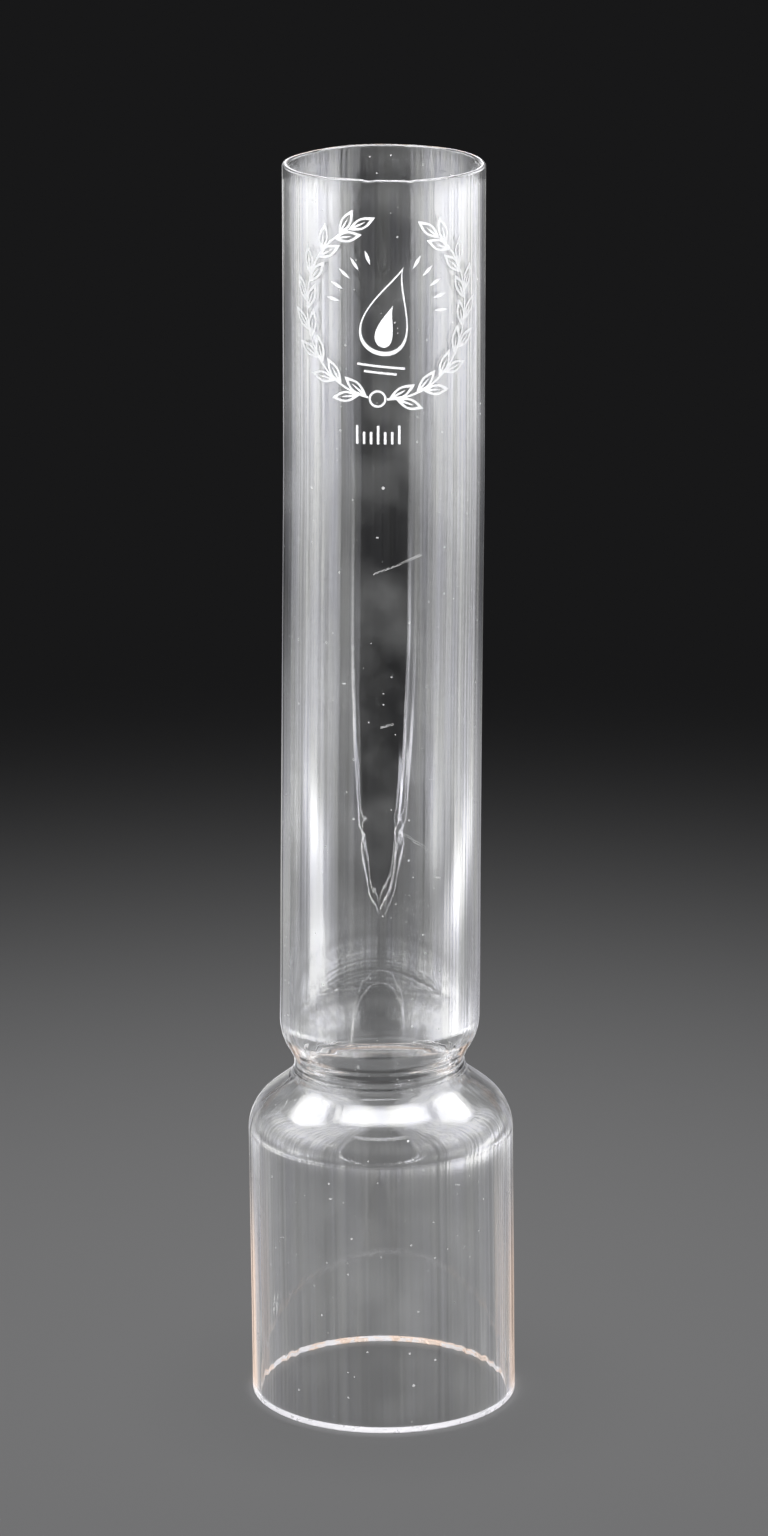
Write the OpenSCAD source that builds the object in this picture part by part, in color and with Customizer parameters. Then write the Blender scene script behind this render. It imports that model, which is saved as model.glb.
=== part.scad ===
// Glass chimney of an oil lamp: one blown piece with a round base, a pinched neck and a tall tube.
// It stands on its base rim at z = 0, its axis is Z, and the stamped mark faces -Y.

/* [Height] */
// Height from the base rim to the top rim
chimney_h = 222.5; // [200:0.5:260]
// Length of the true cylinder at the top, which carries the mark
top_straight_h = 55; // [52:1:80]

/* [Base] */
// Outside diameter of the base, which the burner's gallery holds
base_d = 47; // [46:0.5:50]
// Height of the cylindrical part of the base
base_straight_h = 49; // [40:1:55]
// Radius of the rounded edges of the base rim
base_edge_r = 0.45; // [0.2:0.05:0.55]

/* [Shoulder and neck] */
// Radius of the rounded shoulder
shoulder_r = 8.8; // [7:0.1:10]
// Steepest lean of the shoulder away from the axis
shoulder_angle = 52; // [48:0.5:58]
// Outside diameter at the narrowest point of the neck
neck_d = 30.1; // [28:0.1:30.6]
// Radius of the hollow curve round the neck
neck_r = 4.1; // [3:0.05:4.5]

/* [Tube] */
// Outside diameter of the tube just above the neck
tube_d = 35.3; // [35:0.1:37]
// Outside diameter of the tube at its top
rim_d = 34.7; // [34:0.1:36]
// Lean of the tube's rounded foot away from the axis
foot_angle = 30; // [26:0.5:31]
// Radius of the tube's rounded foot
foot_r = 10; // [7:0.1:10.5]

/* [Glass] */
// Wall thickness of the base, neck and lower tube
wall = 1.4; // [1.2:0.05:1.8]
// Wall thickness at the top rim
rim_wall = 1.1; // [0.9:0.05:1.4]

/* [Mark] */
// Thickness of the frosted layer
mark_t = 0.08; // [0.05:0.01:0.15]
// Radius of the stamped wreath, out to its leaf tips
wreath_r = 17.4; // [14:0.1:18]
// Distance from the top rim to the wreath's centre
mark_drop = 22.3; // [20:0.1:26]
// Distance along the glass from the front line to the wreath's centre
mark_shift = 0.5; // [-1:0.1:1]
// Tilt of the hand-placed wreath, anticlockwise
mark_tilt = -6; // [-10:0.5:10]
// Width of the drawn lines
line_w = 0.36; // [0.2:0.02:0.5]

/* [Hidden] */
$fn = 128;

// Radii, and the heights that the tangent arcs work out to
base_outer = base_d / 2;
neck_outer = neck_d / 2;
tube_outer = tube_d / 2;
rim_outer = rim_d / 2;
shoulder_run = (base_outer - neck_outer - (shoulder_r + neck_r) * (1 - cos(shoulder_angle)))
             / sin(shoulder_angle);
neck_z = base_straight_h + (shoulder_r + neck_r) * sin(shoulder_angle)
       + shoulder_run * cos(shoulder_angle);
foot_run = (tube_outer - neck_outer - (foot_r + neck_r) * (1 - cos(foot_angle))) / sin(foot_angle);
foot_z = neck_z + (foot_r + neck_r) * sin(foot_angle) + foot_run * cos(foot_angle);
top_straight_z = chimney_h - top_straight_h;

// Outline steps
curve_step = 4;      // degrees between points on the chimney's curves
edge_step = 15;      // degrees between points on the rims' rounded edges
line_step = 8;       // degrees between points on the mark's curves
leaf_steps = 7;      // straight stretches along one side of a leaf

// Wreath: two branches of leaf pairs that leave a gap at the top
leaf_len = 5.2;
leaf_w = 1.9;
leaf_lean = 27;                        // between a leaf and its stem
vein_part = 0.66;                      // the vein's length, as a part of the leaf's
stem_r = wreath_r - leaf_len * sin(leaf_lean) + leaf_w * 0.1;
stem_from = -84;                       // degrees, with 0 pointing along the glass
stem_to = 58;
pairs = 8;
knot_r = 1.5;                          // of the ring that ties the two stems

// Flame, inside the wreath
flame_h = 15.5;
flame_w = 9.4;
flame_power = 1.7;                     // how far the flame narrows towards its tip
flame_sway = 0.13;                     // sideways swing of the tip, as a part of the flame's height
core_h = 7.4;
core_w = 3.4;
core_drop = 2.6;
ray_len = 2.6;
ray_in = 8.4;                          // from the flame's centre to the start of a ray
ray_from = 4;
ray_to = 64;
rays = 5;                              // on each side
bar_drop = 9.6;                        // from the flame's centre to the bar below it
bar_w = 8.2;

// Row of upright ticks under the wreath
tick_heights = [3.2, 2.1, 2.1, 3.2, 2.1, 2.1, 3.2];
tick_gap = 1.2;
tick_w = 0.42;
tick_drop = 21.4;                      // from the wreath's centre to the middle of the row
tick_shift = -1.5;

// Points on an arc, end points included
function arc(centre, r, from, to, step) =
    let (n = ceil(abs(to - from) / step))
    [for (i = [0:n]) let (a = from + (to - from) * i / n) centre + r * [cos(a), sin(a)]];

// Points in the opposite order
function backwards(points) = [for (i = [len(points) - 1:-1:0]) points[i]];

// The wall's outline from the base to the top, a distance inside the outer skin
function skin(depth, top_depth) = concat(
    arc([base_outer - shoulder_r, base_straight_h], shoulder_r - depth, 0, shoulder_angle, curve_step),
    arc([neck_outer + neck_r, neck_z], neck_r + depth, 180 + shoulder_angle, 180 - foot_angle, curve_step),
    arc([tube_outer - foot_r, foot_z], foot_r - depth, -foot_angle, 0, curve_step),
    [[rim_outer - top_depth, top_straight_z]]
);

// The whole cross-section of the glass
function glass_outline() = concat(
    arc([base_outer - base_edge_r, base_edge_r], base_edge_r, -90, 0, edge_step),
    skin(0, 0),
    arc([rim_outer - rim_wall / 2, chimney_h - rim_wall / 2], rim_wall / 2, 0, 180, edge_step),
    backwards(skin(wall, rim_wall)),
    arc([base_outer - wall + base_edge_r, base_edge_r], base_edge_r, 180, 270, edge_step)
);

// A point of the flat drawing, seen from the front once it is laid round the tube
function wrapped(p) = [rim_outer * sin(p[0] / rim_outer * 180 / PI), p[1]];

// Turns a point of the drawing by an angle and moves it to a place
function placed(p, angle, at) =
    at + [p[0] * cos(angle) - p[1] * sin(angle), p[0] * sin(angle) + p[1] * cos(angle)];

// A point of the mark's drawing, tilted, moved to its place and laid round the tube
function stamped(p, tilt) = wrapped(placed(p, tilt, [mark_shift, chimney_h - mark_drop]));

// Outline of a leaf of a given length and width, along +X from the origin
function leaf(length, width) = concat(
    [for (i = [0:leaf_steps]) let (t = i / leaf_steps) [length * t, width / 2 * sin(180 * t)]],
    [for (i = [leaf_steps - 1:-1:1]) let (t = i / leaf_steps) [length * t, -width / 2 * sin(180 * t)]]
);

// Outline of a flame round the origin: a pointed drop, tip up, whose tip swings to one side
function flame(height, width) =
    [for (a = [0:line_step:360 - line_step])
        let (up = (1 + cos(a)) / 2)
        [width * 0.65 * sin(a) * pow(sin(a / 2), flame_power) + height * flame_sway * up * (2 * up - 1),
         height / 2 * cos(a)]];

// Outline of a curved line of the usual width round the wreath's centre
function curved_line(r, from, to) = concat(
    arc([0, 0], r + line_w / 2, from, to, line_step),
    arc([0, 0], r - line_w / 2, to, from, line_step)
);

// Outline of a straight line with blunt ends, along X and centred
function straight_line(length, width) =
    [[-length / 2, -width / 2], [length / 2, -width / 2], [length / 2, width / 2], [-length / 2, width / 2]];

// Fills an outline of the mark, turned and moved within the drawing
module drawn(points, angle = 0, at = [0, 0], tilt = mark_tilt) {
    polygon([for (p = points) stamped(placed(p, angle, at), tilt)]);
}

// A leaf drawn as an outline with a short vein
module leaf_drawing(angle, at) {
    inset = line_w * leaf_len / leaf_w;
    difference() {
        drawn(leaf(leaf_len, leaf_w), angle, at);
        drawn([for (p = leaf(leaf_len - 2 * inset, leaf_w - 2 * line_w)) p + [inset, 0]], angle, at);
    }
    drawn(leaf(leaf_len * vein_part, line_w), angle, at);
}

// One branch; side is 1 on the right and -1 on the left
module branch_drawing(side) {
    drawn([for (p = curved_line(stem_r, stem_from, stem_to)) [side * p[0], p[1]]]);
    for (i = [0:pairs - 1], way = [-1, 1]) {
        a = stem_from + (stem_to - stem_from) * (i + (way > 0 ? 0.3 : 0.05)) / (pairs - 0.3);
        at = stem_r * [side * cos(a), sin(a)];
        heading = side > 0 ? a + 90 - way * leaf_lean : 90 - a + way * leaf_lean;
        leaf_drawing(heading, at);
    }
    tip = stem_r * [side * cos(stem_to), sin(stem_to)];
    leaf_drawing(side > 0 ? stem_to + 90 : 90 - stem_to, tip);
}

// Small ring that ties the two stems
module knot_drawing() {
    at = [0, -stem_r];
    difference() {
        drawn(arc([0, 0], knot_r, 0, 360 - line_step * 2, line_step * 2), 0, at);
        drawn(arc([0, 0], knot_r - line_w, 0, 360 - line_step * 2, line_step * 2), 0, at);
    }
}

// Flame with a bright core, rays on both sides and two lines under it
module flame_drawing() {
    difference() {
        drawn(flame(flame_h, flame_w));
        drawn(flame(flame_h - 4 * line_w, flame_w - 2 * line_w));
    }
    drawn(flame(core_h, core_w), 0, [0, -core_drop]);
    for (side = [-1, 1], i = [0:rays - 1]) {
        a = ray_from + (ray_to - ray_from) * i / (rays - 1);
        heading = side > 0 ? a : 180 - a;
        drawn(leaf(ray_len, line_w * 1.6), heading, ray_in * [side * cos(a), sin(a)]);
    }
    for (i = [0, 1]) {
        drawn(straight_line(bar_w - i * 2.6, line_w), 0, [0, -bar_drop - i * 1.1]);
    }
}

// Lays a flat drawing on the front of the tube as a thin layer
module on_glass() {
    color([0.93, 0.94, 0.95]) intersection() {
        rotate([90, 0, 0]) linear_extrude(rim_outer + 1) children();
        difference() {
            translate([0, 0, top_straight_z]) cylinder(r = rim_outer + mark_t, h = top_straight_h);
            translate([0, 0, top_straight_z - 1]) cylinder(r = rim_outer, h = top_straight_h + 2);
        }
    }
}

module glass_chimney() {
    color([0.86, 0.90, 0.92, 0.35]) rotate_extrude() polygon(glass_outline());
}

module stamped_wreath() {
    on_glass() {
        for (side = [-1, 1]) branch_drawing(side);
        knot_drawing();
        flame_drawing();
    }
}

module stamped_ticks() {
    on_glass() for (i = [0:len(tick_heights) - 1]) {
        along = tick_shift + (i - (len(tick_heights) - 1) / 2) * tick_gap;
        up = -tick_drop + tick_heights[i] / 2 - max(tick_heights) / 2;
        drawn(straight_line(tick_heights[i], tick_w), 90, [along, up], tilt = 0);
    }
}

glass_chimney();
stamped_wreath();
stamped_ticks();
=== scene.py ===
"""Clear blown-glass chimney of an oil lamp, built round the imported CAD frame.

The CAD glass is replaced by a finer mesh that follows the same section and adds what blowing leaves behind:
soft waves in the wall, drawn streaks, ridges round the pinched neck, an uneven fire-polished lip and an axis
slightly out of line. The stamped mark is shown by its own CAD nodes. Everything is in metres, in the frame's
own axes, and the front, with the mark, faces -Y.
"""
import bpy
import math
import numpy as np
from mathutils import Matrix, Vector


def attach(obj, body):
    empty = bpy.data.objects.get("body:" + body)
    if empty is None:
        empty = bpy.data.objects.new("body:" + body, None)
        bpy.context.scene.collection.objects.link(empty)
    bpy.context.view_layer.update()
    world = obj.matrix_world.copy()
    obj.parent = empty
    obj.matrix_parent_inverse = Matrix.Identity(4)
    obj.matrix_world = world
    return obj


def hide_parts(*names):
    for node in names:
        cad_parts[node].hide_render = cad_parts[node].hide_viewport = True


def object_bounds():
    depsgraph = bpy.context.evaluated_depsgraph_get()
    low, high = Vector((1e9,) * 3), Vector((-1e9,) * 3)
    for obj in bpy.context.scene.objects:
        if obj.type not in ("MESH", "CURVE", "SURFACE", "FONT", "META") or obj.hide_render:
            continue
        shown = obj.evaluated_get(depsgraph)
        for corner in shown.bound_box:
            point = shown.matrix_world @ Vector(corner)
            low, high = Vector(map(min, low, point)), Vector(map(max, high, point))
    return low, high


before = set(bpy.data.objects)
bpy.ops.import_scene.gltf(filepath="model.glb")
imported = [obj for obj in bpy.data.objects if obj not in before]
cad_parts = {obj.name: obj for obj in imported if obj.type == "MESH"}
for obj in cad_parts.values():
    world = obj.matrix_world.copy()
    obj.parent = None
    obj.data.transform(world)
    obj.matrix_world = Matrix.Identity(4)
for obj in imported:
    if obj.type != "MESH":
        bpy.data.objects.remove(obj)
cad_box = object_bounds()

MM = 0.001
GLASS = "glass_chimney"
WREATH = "stamped_wreath"
TICKS = "stamped_ticks"

# ---- camera ------------------------------------------------------------------------------------------------

CAMERA_DISTANCE = 1.0758    # from the axis, along the floor
CAMERA_HEIGHT = 0.42166     # above the floor
CAMERA_TILT = 15.898        # degrees below level
CAMERA_LENS = 150.1         # mm, on a 36 mm sensor whose long side is the picture's height


def make_camera():
    data = bpy.data.cameras.new("camera")
    data.sensor_width = 36.0
    data.lens = CAMERA_LENS
    camera = bpy.data.objects.new("camera", data)
    camera.location = (0.0, -CAMERA_DISTANCE, CAMERA_HEIGHT)
    camera.rotation_euler = (math.radians(90 - CAMERA_TILT), 0, 0)
    bpy.context.scene.collection.objects.link(camera)
    bpy.context.scene.camera = camera


# ---- node helpers ------------------------------------------------------------------------------------------

PATCHY = (0.35, 0.65)       # noise values between which one colour turns into another
REFLECTED = 0.5             # a ray with a glossy depth above this was reflected on its way


class Graph:
    """The nodes of one material, with short ways to make and join them."""

    def __init__(self, name):
        self.material = bpy.data.materials.new(name)
        self.material.use_nodes = True
        self.nodes = self.material.node_tree.nodes
        self.links = self.material.node_tree.links
        self.shader = self.nodes["Principled BSDF"]

    def put(self, value, socket):
        """Links a socket to another one, or gives it a plain value."""
        if isinstance(value, bpy.types.NodeSocket):
            self.links.new(value, socket)
        else:
            socket.default_value = value

    def math(self, operation, a, b=0.0):
        node = self.nodes.new("ShaderNodeMath")
        node.operation = operation
        self.put(a, node.inputs[0])
        self.put(b, node.inputs[1])
        return node.outputs["Value"]

    def total(self, first, *others):
        for other in others:
            first = self.math("ADD", first, other)
        return first

    def product(self, first, *others):
        for other in others:
            first = self.math("MULTIPLY", first, other)
        return first

    def less(self, a, b):
        return self.math("SUBTRACT", a, b)

    def distance(self, a, b):
        return self.math("ABSOLUTE", self.less(a, b))

    def between(self, value, low, high, start=0.0, end=1.0):
        """Start before low, end past high, which may be the smaller one, and a soft step between them."""
        node = self.nodes.new("ShaderNodeMapRange")
        node.interpolation_type = "SMOOTHSTEP"
        self.put(value, node.inputs["Value"])
        node.inputs["From Min"].default_value = low
        node.inputs["From Max"].default_value = high
        node.inputs["To Min"].default_value = start
        node.inputs["To Max"].default_value = end
        return node.outputs["Result"]

    def window(self, value, begin, full, fading, end):
        """1 from full to fading, and 0 before begin and after end."""
        return self.product(self.between(value, begin, full), self.between(value, end, fading))

    def bell(self, value, middle, half):
        """1 at the middle, and falling off smoothly to both sides."""
        away = self.math("DIVIDE", self.less(value, middle), half)
        return self.math("POWER", math.e, self.product(-1.0, away, away))

    def ramp(self, value, stops):
        """The amount at a value, on a line through (place, amount) stops that is level beyond its ends."""
        low, high = stops[0][0], stops[-1][0]
        peak = max(amount for place, amount in stops)
        span = self.nodes.new("ShaderNodeMapRange")
        span.inputs["From Min"].default_value = low
        span.inputs["From Max"].default_value = high
        self.links.new(value, span.inputs["Value"])
        curve = self.nodes.new("ShaderNodeFloatCurve")
        points = curve.mapping.curves[0].points
        points[0].location = (0.0, stops[0][1] / peak)
        points[1].location = (1.0, stops[-1][1] / peak)
        for place, amount in stops[1:-1]:
            points.new((place - low) / (high - low), amount / peak)
        for point in points:
            point.handle_type = "VECTOR"
        curve.mapping.update()
        self.links.new(span.outputs["Result"], curve.inputs["Value"])
        return self.product(curve.outputs["Value"], peak)

    def object_coords(self):
        return self.nodes.new("ShaderNodeTexCoord").outputs["Object"]

    def noise(self, scale, detail):
        """Soft noise in the object's own space, about 0.5 on average."""
        node = self.nodes.new("ShaderNodeTexNoise")
        node.inputs["Scale"].default_value = scale
        node.inputs["Detail"].default_value = detail
        self.links.new(self.object_coords(), node.inputs["Vector"])
        return node.outputs["Fac"]

    def mix(self, factor, first, second):
        """A colour between two, each a plain colour or a socket."""
        node = self.nodes.new("ShaderNodeMix")
        node.data_type = "RGBA"
        self.put(factor, node.inputs["Factor"])
        for colour, name in ((first, "A"), (second, "B")):
            plain = not isinstance(colour, bpy.types.NodeSocket)
            self.put((*colour, 1) if plain else colour, node.inputs[name])
        return node.outputs["Result"]

    def blend(self, value, first, second):
        """A colour between two, in soft patches by a noise value."""
        return self.mix(self.between(value, *PATCHY), first, second)

    def only_reflections_see(self, shader, otherwise):
        """The surface is one shader to a ray that was reflected on its way, and another to the rest."""
        path = self.nodes.new("ShaderNodeLightPath")
        mix = self.nodes.new("ShaderNodeMixShader")
        self.put(self.math("GREATER_THAN", path.outputs["Glossy Depth"], REFLECTED), mix.inputs["Fac"])
        self.links.new(otherwise, mix.inputs[1])
        self.links.new(shader, mix.inputs[2])
        self.links.new(mix.outputs["Shader"], self.nodes["Material Output"].inputs["Surface"])

    def place(self):
        """X, Y and Z in the object's own axes."""
        split = self.nodes.new("ShaderNodeSeparateXYZ")
        self.links.new(self.object_coords(), split.inputs["Vector"])
        return split.outputs["X"], split.outputs["Y"], split.outputs["Z"]

    def azimuth(self, x, y):
        """Degrees round the axis from the front, plus to the right."""
        return self.math("DEGREES", self.math("ARCTAN2", x, self.product(y, -1.0)))


# ---- glass mesh --------------------------------------------------------------------------------------------

SEGMENTS = 240              # round the axis
STRAIGHT_STEP = 2.5 * MM    # between rings on the straight stretches
BEND_STEP = 0.5 * MM        # between rings on the bends
NECK_STEP = 0.3 * MM        # and close to the neck
LONG_SIDE = 3.0 * MM        # a longer CAD edge is a straight stretch
SAME_HEIGHT = 0.02 * MM     # CAD points closer than this in height are one ring
LEVEL_FACE = 1e-3           # a CAD face that leans outward less than this is level
LAND = 0.90 * MM            # height of the ground land at the base
LIP_POINTS = 9              # across the rounded lip at the top
LIP_START = 1.6             # the rounded lip takes over this many lip radii below the top
LIP_WORN = 0.03 * MM        # depth of the worn line along its crest

NECK_Z = 62 * MM            # height of the narrowest place
NECK_REACH = 9 * MM         # how far the close rings go above and below the neck
NECK_TILT = 0.016           # slope of the pinched ring, right side up
NECK_TILT_REACH = 13 * MM
# how far the axis strays to the left (mm) at each height (mm): the neck was pinched slightly out of line
STRAY = ((0, 0.0), (50, 0.58), (62, 0.84), (76, 0.68), (107, 0.52), (139, 0.26), (168, 0.0), (240, 0.0))
STRAY_LINE = (-30.0, 260.0, 0.5)    # from, to and step (mm) of the smooth line through STRAY
STRAY_BLUR = 7.0            # how many of those steps it is smoothed over
STRAY_SIDE = 24             # and how many to either side are taken in at all

# the wall's own waves: times round, and wavelength up the wall, whose sign is the way that they lean
ROLLING = ((2, 0.061), (3, -0.043), (1, 0.029), (4, 0.083))
STREAKS = ((37, 1.9), (53, -1.3), (71, 2.4), (29, -0.9))
ROLLING_DEPTH = (0.045 * MM, 0.03 * MM)     # inside and outside
STREAK_DEPTH = (0.015 * MM, 0.009 * MM)
ROLLING_SEED = 3
STREAK_SEED = 5
TRUE_Z = 174 * MM           # above this the outside is left true, for the stamp
# the waves grow over these lengths: down from TRUE_Z outside, up from the base, and down from the top
TRUE_FADE = 40 * MM
BASE_FADE = 14 * MM
TOP_FADE = 40 * MM

RIDGE_DEPTH = 0.045 * MM    # the pinching tool left low ridges round the neck
RIDGE_STEPS = (1.75 * MM, 2.9 * MM)     # from ridge to ridge, in two sets
SECOND_RIDGES = 0.6         # how high the second set is beside the first
RIDGE_SWAY = (0.9, 0.4)     # how far the first set sways up and down on its way round, and where, in radians
RIDGE_MIDDLE = NECK_Z + 1 * MM
RIDGE_REACH = 3.6 * MM
RIDGE_SHARE = (0.6, 0.4)    # how strong they are at the sides, and how much more in front and less behind
FOLD_DEPTH = 0.06 * MM      # and finer folds just below it
FOLD_STEP = 1.3 * MM
FOLD_SWAY = (0.7, 1.1)      # the same for the folds, which sway twice
FOLD_MIDDLE = NECK_Z - 1.6 * MM
FOLD_REACH = 1.0 * MM

LIP_REACH = 1.2 * MM        # how far down the lip's unevenness goes
# swells of the lip: times round, where in radians, and depth in millimetres
LIP_SWELLS = ((2, 0.7, 0.10), (5, 0.0, 0.05))
# worn places on it: angle round the axis and half width in radians, and depth in millimetres
LIP_DIPS = ((-1.72, 0.05, 0.22), (-1.31, 0.03, 0.16), (-2.2, 0.08, 0.12))


def wall_outline(node):
    """The outer and the inner side of a turned CAD node as (radius, height) points, both from the base up."""
    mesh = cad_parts[node].data
    outer = {}
    inner = {}
    for face in mesh.polygons:
        centre = face.center
        outward = face.normal.x * centre.x + face.normal.y * centre.y
        if abs(outward) < LEVEL_FACE * math.hypot(centre.x, centre.y):
            continue
        side = outer if outward > 0 else inner
        for index in face.vertices:
            x, y, z = mesh.vertices[index].co
            side.setdefault(round(z / SAME_HEIGHT), []).append((math.hypot(x, y), z))
    return [np.array([np.mean(side[key], axis=0) for key in sorted(side)]) for side in (outer, inner)]


def smoothed(points):
    """The same line with more points: straight where its edges are long, and a smooth curve elsewhere."""
    steps = np.diff(points, axis=0)
    lengths = np.linalg.norm(steps, axis=1)
    ways = steps / lengths[:, None]
    tangents = [ways[0]]
    for k in range(1, len(points) - 1):
        if lengths[k - 1] > LONG_SIDE:
            way = ways[k - 1]
        elif lengths[k] > LONG_SIDE:
            way = ways[k]
        else:
            way = ways[k - 1] * lengths[k] + ways[k] * lengths[k - 1]
        tangents.append(way / np.linalg.norm(way))
    tangents.append(ways[-1])
    out = [points[0]]
    for k, length in enumerate(lengths):
        near_neck = abs(points[k, 1] - NECK_Z) < NECK_REACH
        step_length = STRAIGHT_STEP if length > LONG_SIDE else NECK_STEP if near_neck else BEND_STEP
        count = max(1, math.ceil(length / step_length))
        for step in range(1, count + 1):
            t = step / count
            place = points[k] * (2 * t ** 3 - 3 * t ** 2 + 1) + points[k + 1] * (3 * t ** 2 - 2 * t ** 3)
            slope = tangents[k] * (t ** 3 - 2 * t ** 2 + t) + tangents[k + 1] * (t ** 3 - t ** 2)
            out.append(place + slope * length)
    return np.array(out)


def with_ring(points, height):
    """The same line with one more point at a height."""
    after = np.searchsorted(points[:, 1], height)
    radius = np.interp(height, points[:, 1], points[:, 0])
    return np.insert(points, after, (radius, height), axis=0)


def glass_section(top):
    """(radius, height) points up the outside, over the lip and down the inside, and how many are outside."""
    outer, inner = (with_ring(smoothed(side), LAND) for side in wall_outline(GLASS))
    lip_r = (outer[-1, 0] - inner[-1, 0]) / 2
    outer, inner = (side[side[:, 1] < top - LIP_START * lip_r] for side in (outer, inner))
    turn = np.linspace(0, math.pi, LIP_POINTS)
    crest = np.c_[inner[-1, 0] + lip_r + lip_r * np.cos(turn), top - lip_r + lip_r * np.sin(turn)]
    return np.vstack([outer, crest, inner[::-1]]), len(outer)


def eased(x):
    x = np.clip(x, 0, 1)
    return x * x * (3 - 2 * x)


def bump(height, middle, reach):
    """1 at the middle, and falling off smoothly above and below."""
    return np.exp(-((height - middle) / reach) ** 2)


def stray(height):
    """The sideways shift of the axis at each height, as a smooth line through STRAY."""
    grid = np.arange(*STRAY_LINE)
    marks = np.array(STRAY)
    line = np.interp(grid, marks[:, 0], marks[:, 1])
    blur = np.exp(-0.5 * (np.arange(-STRAY_SIDE, STRAY_SIDE + 1) / STRAY_BLUR) ** 2)
    line = np.convolve(line, blur / blur.sum(), mode="same")
    return np.interp(height / MM, grid, line) * MM


def waves(angle, height, pairs, seed):
    """A sum of long soft waves, from -1 to 1."""
    random = np.random.default_rng(seed)
    total = np.zeros_like(angle)
    for times, length in pairs:
        total += np.cos(times * angle + 2 * math.pi * height / length + random.uniform(0, 2 * math.pi))
    return total / len(pairs)


def with_waves(radius, angle, height, inside, top):
    """The radius with the wall's own waves: long ones up the wall, and narrow drawn streaks along it."""
    free = np.where(inside, 1.0, 1.0 - eased((height - TRUE_Z + TRUE_FADE) / TRUE_FADE))
    free *= eased(height / BASE_FADE) * eased((top - height) / TOP_FADE)
    kinds = ((ROLLING, ROLLING_SEED, ROLLING_DEPTH), (STREAKS, STREAK_SEED, STREAK_DEPTH))
    for pairs, seed, depths in kinds:
        radius = radius - free * np.where(inside, *depths) * (1 + waves(angle, height, pairs, seed))
    return radius


def with_ridges(radius, angle, height):
    """The radius with what the pinching tool left round the neck."""
    turns = 2 * math.pi * height
    ridges = np.sin(turns / RIDGE_STEPS[0] + RIDGE_SWAY[0] * np.cos(angle + RIDGE_SWAY[1]))
    ridges = ridges + SECOND_RIDGES * np.cos(turns / RIDGE_STEPS[1])
    folds = np.sin(turns / FOLD_STEP + FOLD_SWAY[0] * np.cos(2 * angle + FOLD_SWAY[1]))
    share = RIDGE_SHARE[0] - RIDGE_SHARE[1] * np.sin(angle)
    radius = radius + RIDGE_DEPTH * share * ridges * bump(height, RIDGE_MIDDLE, RIDGE_REACH)
    return radius + FOLD_DEPTH * folds * bump(height, FOLD_MIDDLE, FOLD_REACH)


def with_uneven_lip(angle, height, top):
    """The height, less what the lip dips all round and at its worn places."""
    dip = np.zeros_like(angle)
    for times, start, depth in LIP_SWELLS:
        dip += depth * (1 + np.cos(times * angle + start))
    for middle, half, depth in LIP_DIPS:
        away = np.angle(np.exp(1j * (angle - middle)))
        dip += depth * np.exp(-(away / half) ** 2)
    return height - eased((height - top + LIP_REACH) / LIP_REACH) * dip * MM


def ring_faces(rings):
    """Four-sided faces between each ring and the next, and from the last one back to the first."""
    faces = []
    for ring in range(rings):
        here = ring * SEGMENTS
        after = (ring + 1) % rings * SEGMENTS
        for k in range(SEGMENTS):
            k2 = (k + 1) % SEGMENTS
            faces.append((here + k, here + k2, after + k2, after + k))
    return faces


def glass_piece():
    top = cad_box[1].z
    section, outer_count = glass_section(top)
    rings = len(section)
    angle = np.tile(np.arange(SEGMENTS) * 2 * math.pi / SEGMENTS, rings)
    height = np.repeat(section[:, 1], SEGMENTS)
    inside = np.repeat(np.arange(rings) >= outer_count, SEGMENTS)
    radius = with_waves(np.repeat(section[:, 0], SEGMENTS), angle, height, inside, top)
    radius = with_ridges(radius, angle, height)
    height = with_uneven_lip(angle, height, top)
    across = radius * np.cos(angle)
    height = height + NECK_TILT * across * bump(height, NECK_Z, NECK_TILT_REACH)
    points = np.c_[across - stray(height), radius * np.sin(angle), height]

    mesh = bpy.data.meshes.new("blown_glass")
    mesh.from_pydata(points.tolist(), [], ring_faces(rings))
    mesh.polygons.foreach_set("use_smooth", [True] * len(mesh.polygons))
    mesh.materials.append(glass_material())
    mesh.materials.append(rim_material())
    worn = []
    for ring in range(rings):
        middle = (section[ring, 1] + section[(ring + 1) % rings, 1]) / 2
        worn.extend([1 if middle < LAND or middle > top - LIP_WORN else 0] * SEGMENTS)
    mesh.polygons.foreach_set("material_index", worn)
    mesh.update()
    piece = bpy.data.objects.new("blown_glass", mesh)
    bpy.context.scene.collection.objects.link(piece)
    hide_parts(GLASS)
    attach(piece, "root")
    return piece


# ---- materials ---------------------------------------------------------------------------------------------

GLASS_IOR = 1.51
GLASS_TINT = (0.985, 0.99, 0.99, 1)
# scratches: azimuth from and to in degrees, height there in millimetres, half width in millimetres
SCRATCHES = ((-6.0, 22.0, 154.4, 157.6, 0.055), (-2.0, 5.5, 127.3, 127.9, 0.06),
             (-21.0, -16.0, 178.0, 168.5, 0.03), (150.0, 171.0, 96.0, 99.0, 0.04),
             (58.0, 66.0, 31.0, 37.0, 0.04), (-55.8, -54.2, 19.3, 21.9, 1.3))
# dust: cells in a metre, the share that holds a speck, and its largest radius in cells
SPECKS = ((190.0, 0.30, 0.055), (420.0, 0.25, 0.09), (800.0, 0.06, 0.14))
WORN_ROUGH = 0.6            # roughness of a speck or a scratch
WORN_WHITE = 0.6            # how white it is
# scale of the noise that breaks the scratches up, and the values between which a scratch begins to show
BREAKS = (2600.0, 0.40, 0.5)
FILM = 0.03                 # how white the film of dust is where it is thickest
FILM_PATCHES = (70.0, 0.45, 0.7)    # scale of its noise, and the values between which it thickens

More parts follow.
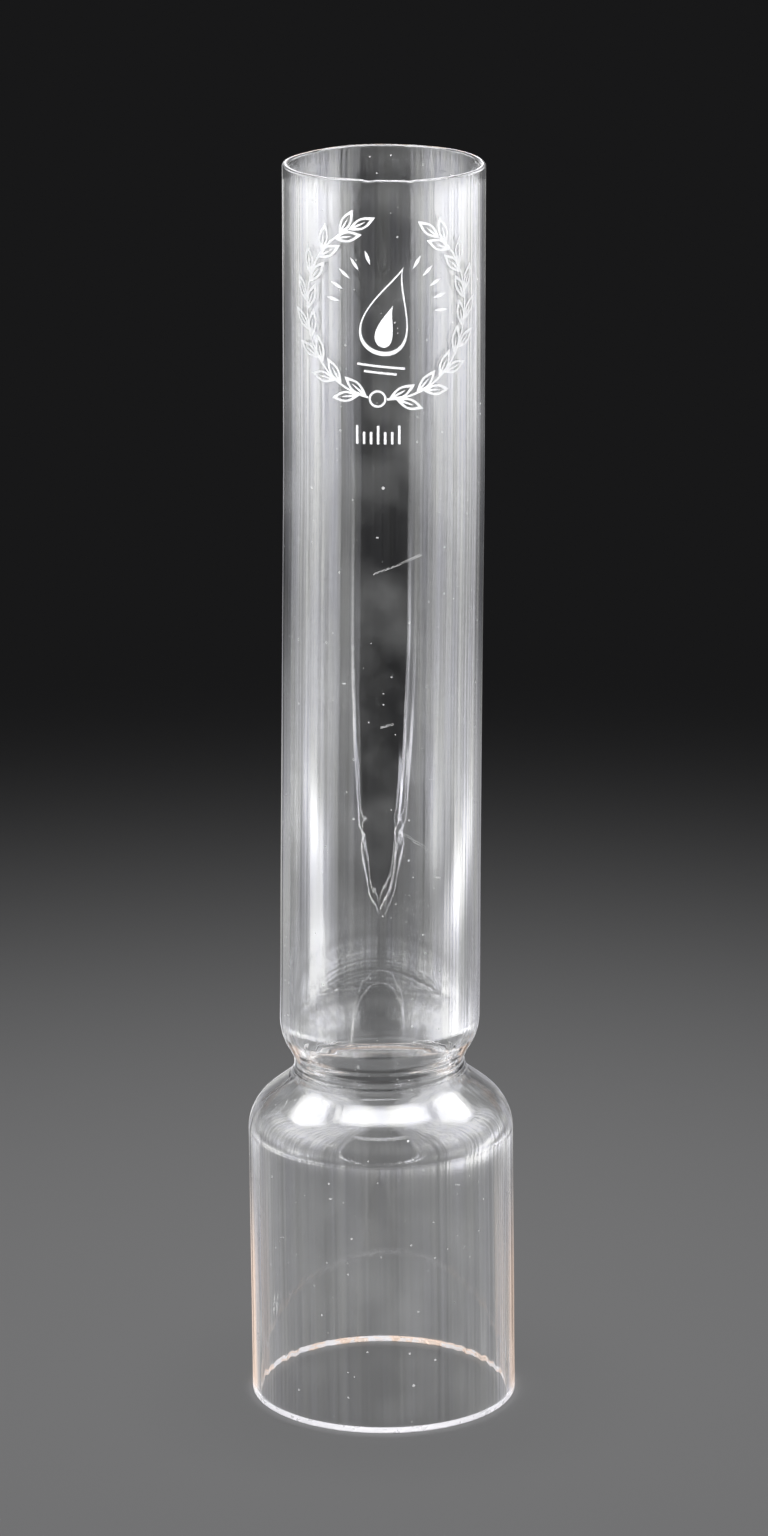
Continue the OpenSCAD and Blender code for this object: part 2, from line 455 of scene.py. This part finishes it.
RIM_CLEAR = 0.3             # how much of the light goes through the worn rims
RIM_ROUGH = (0.25, 0.55)
RIM_PATCHES = 420.0         # scale of the noise that makes their patches
RIM_COLOURS = ((0.98, 0.97, 1.0), (1.0, 0.82, 0.70))    # in front, and in patches behind; the warm one behind is a painted glow of the warm light from behind
RIM_TURN = 10 * MM          # how far in front of and behind the axis these are complete

FROST_COLOURS = ((0.74, 0.75, 0.78), (1.0, 1.0, 1.0))
FROST_ROUGH = 0.75
FROST_SHINE = 0.3
FROST_GRAIN = 5200.0        # scale of its noise
FROST_DEPTH = 0.03 * MM     # of its grain
FROST_BUMP = 0.6            # how strongly that shows

FLOOR_TINT = (0.62, 0.62, 0.63, 1)
FLOOR_ROUGH = 0.9


def speck_mask(g, scale, share, size):
    """Round specks of dust: one in a share of the cells, of a size given in cell widths."""
    cells = g.nodes.new("ShaderNodeTexVoronoi")
    cells.inputs["Scale"].default_value = scale
    g.links.new(g.object_coords(), cells.inputs["Vector"])
    split = g.nodes.new("ShaderNodeSeparateColor")
    g.links.new(cells.outputs["Color"], split.inputs["Color"])
    kept = g.math("GREATER_THAN", split.outputs["Red"], 1.0 - share)
    reach = g.product(split.outputs["Green"], size)
    return g.product(kept, g.math("LESS_THAN", cells.outputs["Distance"], reach))


def scratch_mask(g, turned, z, start, end, low, high, half):
    """A straight scratch across the glass, from one azimuth and height to another."""
    along = g.math("DIVIDE", g.less(turned, start), end - start)
    line = g.total(low * MM, g.product(along, (high - low) * MM))
    on_line = g.math("LESS_THAN", g.distance(z, line), half * MM)
    within = g.math("LESS_THAN", g.distance(along, 0.5), 0.5)
    return g.product(on_line, within)


def glass_material():
    """Clear glass, dulled only where dust sits on it or something has scratched it."""
    g = Graph("clear_glass")
    g.shader.inputs["Base Color"].default_value = GLASS_TINT
    g.shader.inputs["IOR"].default_value = GLASS_IOR
    x, y, z = g.place()
    turned = g.azimuth(x, y)
    worn = 0.0
    for scale, share, size in SPECKS:
        worn = g.math("MAXIMUM", worn, speck_mask(g, scale, share, size))
    broken = g.between(g.noise(BREAKS[0], 2.0), *BREAKS[1:])
    for scratch in SCRATCHES:
        worn = g.math("MAXIMUM", worn, g.product(scratch_mask(g, turned, z, *scratch), broken))
    film = g.between(g.noise(FILM_PATCHES[0], 4.0), *FILM_PATCHES[1:], 0.0, FILM)
    white = g.math("MAXIMUM", g.product(worn, WORN_WHITE), film)
    g.put(g.product(worn, WORN_ROUGH), g.shader.inputs["Roughness"])
    g.put(g.less(1.0, white), g.shader.inputs["Transmission Weight"])
    return g.material


def rim_material():
    """Worn glass along the edges: part clear, part dull, white in front, and behind in warm patches of
    painted glow that stand for the warm light from behind.
    """
    g = Graph("worn_rim_with_painted_glow")
    g.shader.inputs["IOR"].default_value = GLASS_IOR
    g.shader.inputs["Transmission Weight"].default_value = RIM_CLEAR
    x, y, z = g.place()
    patches = g.noise(RIM_PATCHES, 3.0)
    # painted glow: the rims' back half turns warm in patches, standing for the warm light from behind
    painted_warm_glow = g.product(g.between(y, -RIM_TURN, RIM_TURN), g.between(patches, *reversed(PATCHY)))
    g.put(g.between(patches, *PATCHY, *RIM_ROUGH), g.shader.inputs["Roughness"])
    g.put(g.blend(painted_warm_glow, *RIM_COLOURS), g.shader.inputs["Base Color"])
    return g.material


def frosted_material():
    """The stamped mark: dull white and grainy, as fine acid etching is."""
    g = Graph("frosted_stamp")
    g.shader.inputs["Roughness"].default_value = FROST_ROUGH
    g.shader.inputs["Specular IOR Level"].default_value = FROST_SHINE
    grain = g.noise(FROST_GRAIN, 2.0)
    g.put(g.blend(grain, *FROST_COLOURS), g.shader.inputs["Base Color"])
    bump_node = g.nodes.new("ShaderNodeBump")
    bump_node.inputs["Strength"].default_value = FROST_BUMP
    bump_node.inputs["Distance"].default_value = FROST_DEPTH
    g.put(grain, bump_node.inputs["Height"])
    g.put(bump_node.outputs["Normal"], g.shader.inputs["Normal"])
    return g.material


def floor_material():
    """Matt and pale, but open to reflected rays, which go on to the light tent's lower half."""
    g = Graph("pale_floor")
    g.shader.inputs["Base Color"].default_value = FLOOR_TINT
    g.shader.inputs["Roughness"].default_value = FLOOR_ROUGH
    g.shader.inputs["Specular IOR Level"].default_value = 0.0
    g.only_reflections_see(g.nodes.new("ShaderNodeBsdfTransparent").outputs["BSDF"], g.shader.outputs["BSDF"])
    return g.material


# ---- light tent --------------------------------------------------------------------------------------------
# A white cloth round the glass, seen by reflections only. A place on it is given by its azimuth, in degrees
# from the front, and by its height, which goes on inward along the roof and the bottom. Below the floor it
# stands for what the glass mirrors from the table.

TENT_R = 0.245
TENT_H = 0.45
TENT_DEPTH = 0.35
TENT_STEPS = 96
CLOTH_COLOURS = ((0.92, 0.92, 1.0), (1.0, 1.0, 0.98))
CLOTH_PATCHES = 26.0        # scale of the noise between them
FAR_RAY = 2.5               # a ray with a transmission depth above this was reflected by the glass's far wall

# height, and how bright the cloth is there
TENT_UP = ((-0.595, 0.5), (-0.33, 0.7), (-0.22, 1.6), (-0.18, 4.2), (-0.12, 4.2), (-0.1, 1.5), (-0.032, 1.45),
           (-0.025, 7.0), (-0.01, 6.0), (0.002, 1.9), (0.012, 2.2), (0.02, 3.4), (0.04, 3.3), (0.06, 2.6),
           (0.09, 2.2), (0.115, 3.2), (0.14, 4.4), (0.16, 4.6), (0.175, 6.0), (0.19, 5.6), (0.22, 5.0),
           (0.45, 5.0), (0.5, 4.4), (0.6, 3.6), (0.695, 3.0))
# azimuth, and how bright it is there, above LOW_LINE and below it
TENT_ROUND = ((0, 0.32), (30, 0.38), (50, 0.48), (55, 1.0), (98, 1.0), (118, 0.5), (132, 0.14), (142, 0.05),
              (157, 0.03), (166, 0.05), (176, 0.24), (180, 0.24))
LOW_ROUND = ((0, 0.28), (28, 0.3), (47, 0.34), (67, 0.38), (102, 0.38), (117, 0.46), (132, 0.27), (148, 0.27),
             (157, 0.22), (166, 0.16), (180, 0.2))
LOW_LINE = (-0.026, -0.034)
RIG_TURN = 4.0              # degrees that the cloth's sides are turned to the right

# the dark slot at the front: height, and how many degrees it reaches to either side; the near wall of the
# glass shows it closing to a point, with a jog on its way, and opening again below
SLOT = ((0.0262, 0.0), (0.028, 3.2), (0.031, 11.1), (0.035, 15.8), (0.039, 19.1), (0.0403, 18.6),
        (0.0418, 16.3), (0.0438, 22.0), (0.0497, 24.0), (0.0633, 27.8), (0.0785, 31.3), (0.085, 32.0))
LOW_SLOT = ((-0.35, 22.0), (-0.05, 16.0), (-0.035, 6.0), (-0.03, 0.0))
# and the far wall shows it plain
FAR_SLOT = ((-0.35, 22.0), (-0.05, 16.0), (-0.012, 4.0), (0.0, 9.0), (0.01, 20.0), (0.025, 28.0),
            (0.05, 32.0), (0.695, 34.0))
# height, and how bright the slot itself is there
HAZE = ((-0.35, 0.3), (-0.02, 0.2), (0.06, 0.05), (0.09, 0.09), (0.113, 0.2), (0.145, 0.45), (0.18, 0.5),
        (0.3, 0.1), (0.695, 0.0))
# height, and how bright the slot's edge is there
EDGE = ((0.0255, 0.0), (0.029, 8.0), (0.06, 6.0), (0.085, 2.0), (0.11, 0.3), (0.13, 0.0))
EDGE_HALF = 0.75            # degrees, half width of that bright edge
FAR_EDGE = 0.1              # how much of it the far wall shows
SECOND_EDGE = (7.0, 0.7)    # degrees outside the right edge, and how bright it is beside the first

# a small dark dome near the floor: height, and how many degrees it reaches to either side
DOME = ((-0.017, 0.0), (-0.0155, 14.0), (-0.012, 24.0), (-0.006, 29.0), (0.0, 29.0), (0.004, 25.0),
        (0.007, 18.0), (0.009, 9.0), (0.0096, 0.0))
DOME_UP = (-0.0175, -0.0165, 0.0094, 0.0102)    # heights over which it begins and ends
DOME_TAKES = 0.7            # how much of the light it takes away
# height, and how bright its outline is there
DOME_EDGE = ((-0.008, 0.0), (0.0, 1.3), (0.0096, 2.2), (0.0102, 0.0))
DOME_EDGE_HALF = 1.5        # degrees

# seams and bright edges in the cloth: azimuth, half width, and how much of the light it takes away
SEAMS = ((51.5, 1.1, 0.6), (44.0, 0.9, 0.5), (37.5, 1.0, -0.9), (61.0, 0.7, 0.3), (72.0, 0.8, -0.2))
FOLD_SCALE = 0.3            # folds in a degree
FOLDS = (0.33, 0.67, 0.5, 1.5)  # noise values from and to, and how bright a fold is there

ACROSS = (-20.0, 20.0)      # azimuths between which left turns into right

# near the floor each side narrows to one bright patch, with these figures for the left one and the right one
PATCH = 86.0                # azimuth of both
PATCH_TURN = 10.0           # degrees that both are turned to the right
PATCH_UP = (-0.02, 0.0, 0.02, 0.055)    # heights over which they begin and end
PATCH_HALF = (11.0, 16.0)   # half width
PATCH_GLOW = (1.2, 2.1)     # brightness
BESIDE_PATCH = 0.45         # brightness of the cloth beside them
CUT_DOWN = (0.0195, 0.007)  # heights over which their feet fade
PATCH_CUT = (0.75, 0.5)     # the share that this takes away
LEAN_UP = (0.012, 0.04)     # heights over which the right one turns back
PATCH_LEAN = (-4.0, 20.0)   # by these angles

# the lamp overhead, an oval: half width, half depth and distance behind the axis
OVERHEAD = (0.19, 0.12, 0.062)
OVERHEAD_FADE = (0.7, 1.3)      # squares of the sizes, beside the oval's, between which its edge fades
OVERHEAD_GLOW = 11.0
STRIP = (0.36, 0.41, 34.0)      # the strip in front: height from and to, and how far it reaches round
STRIP_FADE = (3 * MM, 6.0)      # over which its edges fade, up and round
STRIP_GLOW = 6.0
# the upper part of each side: azimuths, and heights, over which it begins and ends
HIGH_SIDE = (90.0, 111.0, 132.0, 157.0)
HIGH_SIDE_UP = (0.216, 0.27, 0.42, 0.49)
HIGH_SIDE_GLOW = 6.5
# the cloth's back, low down and high up: azimuths over which it begins, and heights
BACK = (122.0, 146.0)
BACK_UP = (-0.045, -0.03, 0.02, 0.09)
BACK_GLOW = 0.35
HIGH_BACK = (128.0, 146.0)
HIGH_BACK_UP = (0.222, 0.26)
HIGH_BACK_GLOW = 0.7
# warm light from behind, low down
WARM = (1.0, 0.79, 0.67)
WARM_FROM = (141.0, 151.0)
WARM_UP = (-0.14, -0.11, -0.07, -0.035)
WARM_GLOW = (0.66, 0.36)        # on the left and on the right


class Tent(Graph):
    """The tent's material: where a point lies on the cloth, and each part of how bright it is there."""

    def __init__(self):
        super().__init__("light_tent")
        self.nodes.remove(self.shader)
        self.x, self.y, self.z = self.place()
        self.turned = self.azimuth(self.x, self.y)
        self.side = self.distance(self.turned, RIG_TURN)
        self.front = self.distance(self.turned, -RIG_TURN / 2)
        out = self.math("SQRT", self.total(self.product(self.x, self.x), self.product(self.y, self.y)))
        self.along = self.total(self.z, self.product(self.math("SIGN", self.z), self.less(TENT_R, out)))
        path = self.nodes.new("ShaderNodeLightPath")
        self.far = self.math("GREATER_THAN", path.outputs["Transmission Depth"], FAR_RAY)
        self.near = self.less(1.0, self.far)

    def across(self, left, right):
        """One value on the left and another on the right."""
        return self.between(self.turned, *ACROSS, left, right)

    def sides(self):
        """The cloth's brightness round the axis."""
        low = self.between(self.along, *LOW_LINE)
        upper = self.product(self.less(1.0, low), self.ramp(self.side, TENT_ROUND))
        return self.total(upper, self.product(low, self.ramp(self.side, LOW_ROUND)))

    def slot(self):
        """How far a point is past the slot's edge in degrees, and whether the cloth is there."""
        near_slot = self.total(self.ramp(self.along, SLOT), self.ramp(self.along, LOW_SLOT))
        far_slot = self.ramp(self.along, FAR_SLOT)
        half = self.total(self.product(self.near, near_slot), self.product(self.far, far_slot))
        past = self.less(self.front, half)
        return past, self.math("MAXIMUM", self.between(past, -1.0, 1.0), self.between(half, 1.0, 0.0))

    def slot_edges(self, past):
        """The bright line along the slot's edge, and the second one outside it on the right."""
        second = self.product(self.bell(past, SECOND_EDGE[0], EDGE_HALF), self.between(self.turned, 0, 1))
        lines = self.total(self.bell(past, 0.0, EDGE_HALF), self.product(second, SECOND_EDGE[1]))
        shown = self.total(self.near, self.product(self.far, FAR_EDGE))
        return self.product(lines, shown, self.ramp(self.along, EDGE))

    def with_seams(self, bright):
        for middle, half, taken in SEAMS:
            seam = self.product(self.bell(self.side, middle, half), taken)
            bright = self.product(bright, self.less(1.0, seam))
        return bright

    def with_patches(self, bright):
        """Narrows each side to one bright patch near the floor."""
        lean = self.product(self.across(0.0, 1.0), self.between(self.along, *LEAN_UP, *PATCH_LEAN))
        away = self.less(self.distance(self.turned, PATCH_TURN), lean)
        patch = self.bell(away, PATCH, self.across(*PATCH_HALF))
        cut = self.product(self.across(*PATCH_CUT), self.between(self.along, *CUT_DOWN))
        patch = self.product(patch, self.less(1.0, cut), self.across(*PATCH_GLOW))
        shaped = self.total(BESIDE_PATCH, patch)
        low = self.window(self.along, *PATCH_UP)
        return self.product(bright, self.total(self.less(1.0, low), self.product(low, shaped)))

    def with_dome(self, bright):
        """Darkens the dome and draws its bright outline, as the near wall of the glass shows them."""
        past = self.less(self.front, self.ramp(self.along, DOME))
        inside = self.product(self.between(past, 1.0, -1.0), self.window(self.along, *DOME_UP), self.near)
        outline = self.product(self.bell(past, 0.0, DOME_EDGE_HALF), self.ramp(self.along, DOME_EDGE))
        bright = self.product(bright, self.less(1.0, self.product(inside, DOME_TAKES)))
        return self.total(bright, self.product(self.near, outline))

    def with_folds(self, bright):
        folds = self.nodes.new("ShaderNodeTexNoise")
        folds.noise_dimensions = "1D"
        folds.inputs["Scale"].default_value = FOLD_SCALE
        folds.inputs["Detail"].default_value = 4.0
        self.put(self.turned, folds.inputs["W"])
        return self.product(bright, self.between(folds.outputs["Fac"], *FOLDS))

    def overhead(self):
        wide = self.math("DIVIDE", self.x, OVERHEAD[0])
        deep = self.math("DIVIDE", self.less(self.y, OVERHEAD[2]), OVERHEAD[1])
        spread = self.total(self.product(wide, wide), self.product(deep, deep))
        on_roof = self.math("GREATER_THAN", self.z, TENT_H - 1 * MM)
        return self.product(on_roof, self.between(spread, *OVERHEAD_FADE, OVERHEAD_GLOW, 0.0))

    def front_strip(self):
        low, high, reach = STRIP
        fade_up, fade_round = STRIP_FADE
        strip = self.window(self.along, low - fade_up, low, high, high + fade_up)
        return self.product(strip, self.between(self.front, reach, reach - fade_round), STRIP_GLOW)

    def high_sides(self):
        up = self.window(self.along, *HIGH_SIDE_UP)
        return self.product(up, self.window(self.side, *HIGH_SIDE), HIGH_SIDE_GLOW)

    def back(self):
        low = self.product(self.between(self.side, *BACK), self.window(self.along, *BACK_UP))
        high = self.product(self.between(self.side, *HIGH_BACK), self.between(self.along, *HIGH_BACK_UP))
        return self.total(self.product(low, BACK_GLOW), self.product(high, HIGH_BACK_GLOW))

    def behind(self):
        """Where the warm light is: low down at the back."""
        turned_back = self.between(self.distance(self.turned, 0.0), *WARM_FROM)
        return self.product(turned_back, self.window(self.along, *WARM_UP))


def tent_material():
    """A soft white tent that only reflections see, so that it never stands behind the clear glass."""
    g = Tent()
    past, cloth = g.slot()
    bright = g.total(g.product(cloth, g.sides()), g.slot_edges(past))
    bright = g.with_dome(g.with_patches(g.with_seams(bright)))
    bright = g.product(bright, g.ramp(g.along, TENT_UP))
    bright = g.total(bright, g.product(g.less(1.0, cloth), g.ramp(g.along, HAZE)))
    bright = g.with_folds(bright)
    behind = g.behind()
    warm = g.product(behind, g.across(*WARM_GLOW))
    bright = g.total(bright, g.overhead(), g.front_strip(), g.high_sides(), g.back(), warm)

    cloth_tint = g.blend(g.noise(CLOTH_PATCHES, 2.0), *CLOTH_COLOURS)
    glow = g.nodes.new("ShaderNodeEmission")
    g.put(g.mix(behind, cloth_tint, WARM), glow.inputs["Color"])
    g.put(bright, glow.inputs["Strength"])
    g.only_reflections_see(glow.outputs["Emission"], g.nodes.new("ShaderNodeBsdfTransparent").outputs["BSDF"])
    g.material.cycles.emission_sampling = "NONE"
    return g.material


def disc(name, radius, height, steps):
    angles = np.arange(steps) * 2 * math.pi / steps
    mesh = bpy.data.meshes.new(name)
    points = [(radius * math.cos(a), radius * math.sin(a), height) for a in angles]
    mesh.from_pydata(points, [], [tuple(range(steps))])
    mesh.update()
    return mesh


def make_tent():
    material = tent_material()
    angles = np.arange(TENT_STEPS) * 2 * math.pi / TENT_STEPS
    points = [(TENT_R * math.cos(a), TENT_R * math.sin(a), z) for z in (-TENT_DEPTH, TENT_H) for a in angles]
    faces = []
    for k in range(TENT_STEPS):
        k2 = (k + 1) % TENT_STEPS
        faces.append((k, k2, TENT_STEPS + k2, TENT_STEPS + k))
    wall = bpy.data.meshes.new("tent_wall")
    wall.from_pydata(points, [], faces)
    roof = disc("tent_roof", TENT_R, TENT_H, TENT_STEPS)
    bottom = disc("tent_bottom", TENT_R, -TENT_DEPTH, TENT_STEPS)
    for mesh in (wall, roof, bottom):
        mesh.materials.append(material)
        piece = bpy.data.objects.new(mesh.name, mesh)
        bpy.context.scene.collection.objects.link(piece)
        piece.visible_camera = False
        piece.visible_diffuse = False
        piece.visible_shadow = False


# ---- floor, lamps and world --------------------------------------------------------------------------------

FLOOR_R = 3.0
FLOOR_STEPS = 128
POOL_HEIGHT = 1.1           # of the two spots over the floor
POOL_ANGLE = 40             # degrees across
POOL_SOFT = 0.12            # their radius
POOL_WATTS = 10             # of the one whose light goes through the glass
SHADE_WATTS = 3             # of the one whose light the glass stops
FILL_STRENGTH = 0.018       # brings the far floor up to the world's grey
FROST_LAMPS = ((-40, 4.0), (40, 4.0), (140, 3.0), (220, 3.0))       # azimuth and watts
FROST_SIZE = 0.25
FROST_DISTANCE = 0.6
FROST_HEIGHT = 0.45
FROST_AIM = 0.14            # height that they point at
WORLD_GREY = (0.009, 0.009, 0.0095, 1)


def make_floor():
    mesh = disc("floor", FLOOR_R, 0.0, FLOOR_STEPS)
    mesh.materials.append(floor_material())
    floor = bpy.data.objects.new("floor", mesh)
    bpy.context.scene.collection.objects.link(floor)


def light(name, kind, energy, place, target):
    data = bpy.data.lights.new(name, kind)
    data.energy = energy
    item = bpy.data.objects.new(name, data)
    item.location = place
    item.rotation_euler = (Vector(target) - Vector(place)).to_track_quat("-Z", "Y").to_euler()
    item.visible_camera = False
    item.visible_transmission = False
    item.visible_glossy = False
    bpy.context.scene.collection.objects.link(item)
    return item


def make_lights(lit, solid):
    """A pool of light on the floor, most of it through the glass, and four lamps for the object only."""
    for name, watts, blockers in (("floor_light", POOL_WATTS, solid), ("shade_light", SHADE_WATTS, None)):
        pool = light(name, "SPOT", watts, (0, 0, POOL_HEIGHT), (0, 0, 0))
        pool.data.spot_size = math.radians(POOL_ANGLE)
        pool.data.spot_blend = 1.0
        pool.data.shadow_soft_size = POOL_SOFT
        if blockers:
            pool.light_linking.blocker_collection = blockers
    fill = light("floor_fill", "SUN", FILL_STRENGTH, (0, 0, 2), (0, 0, 0))
    fill.light_linking.blocker_collection = solid
    for azimuth, watts in FROST_LAMPS:
        a = math.radians(azimuth)
        place = (FROST_DISTANCE * math.sin(a), -FROST_DISTANCE * math.cos(a), FROST_HEIGHT)
        lamp = light(f"frost_light_{azimuth}", "AREA", watts, place, (0, 0, FROST_AIM))
        lamp.data.size = FROST_SIZE
        lamp.light_linking.receiver_collection = lit
        lamp.light_linking.blocker_collection = solid


def make_world():
    world = bpy.data.worlds.new("world")
    bpy.context.scene.world = world
    world.use_nodes = True
    world.node_tree.nodes["Background"].inputs["Color"].default_value = WORLD_GREY
    world.node_tree.nodes["Background"].inputs["Strength"].default_value = 1.0


def collection(name, items):
    group = bpy.data.collections.new(name)
    for item in items:
        group.objects.link(item)
    return group


make_camera()
make_world()
make_floor()
glass = glass_piece()
marks = [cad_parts[name] for name in (WREATH, TICKS)]
for mark in marks:
    mark.data.materials.clear()
    mark.data.materials.append(frosted_material())
make_tent()
make_lights(collection("lit_by_frost_lights", [glass] + marks), collection("casting_shade", marks))
bpy.context.scene.view_settings.view_transform = "Standard"
bpy.context.scene.cycles.caustics_reflective = False
bpy.context.scene.cycles.caustics_refractive = False
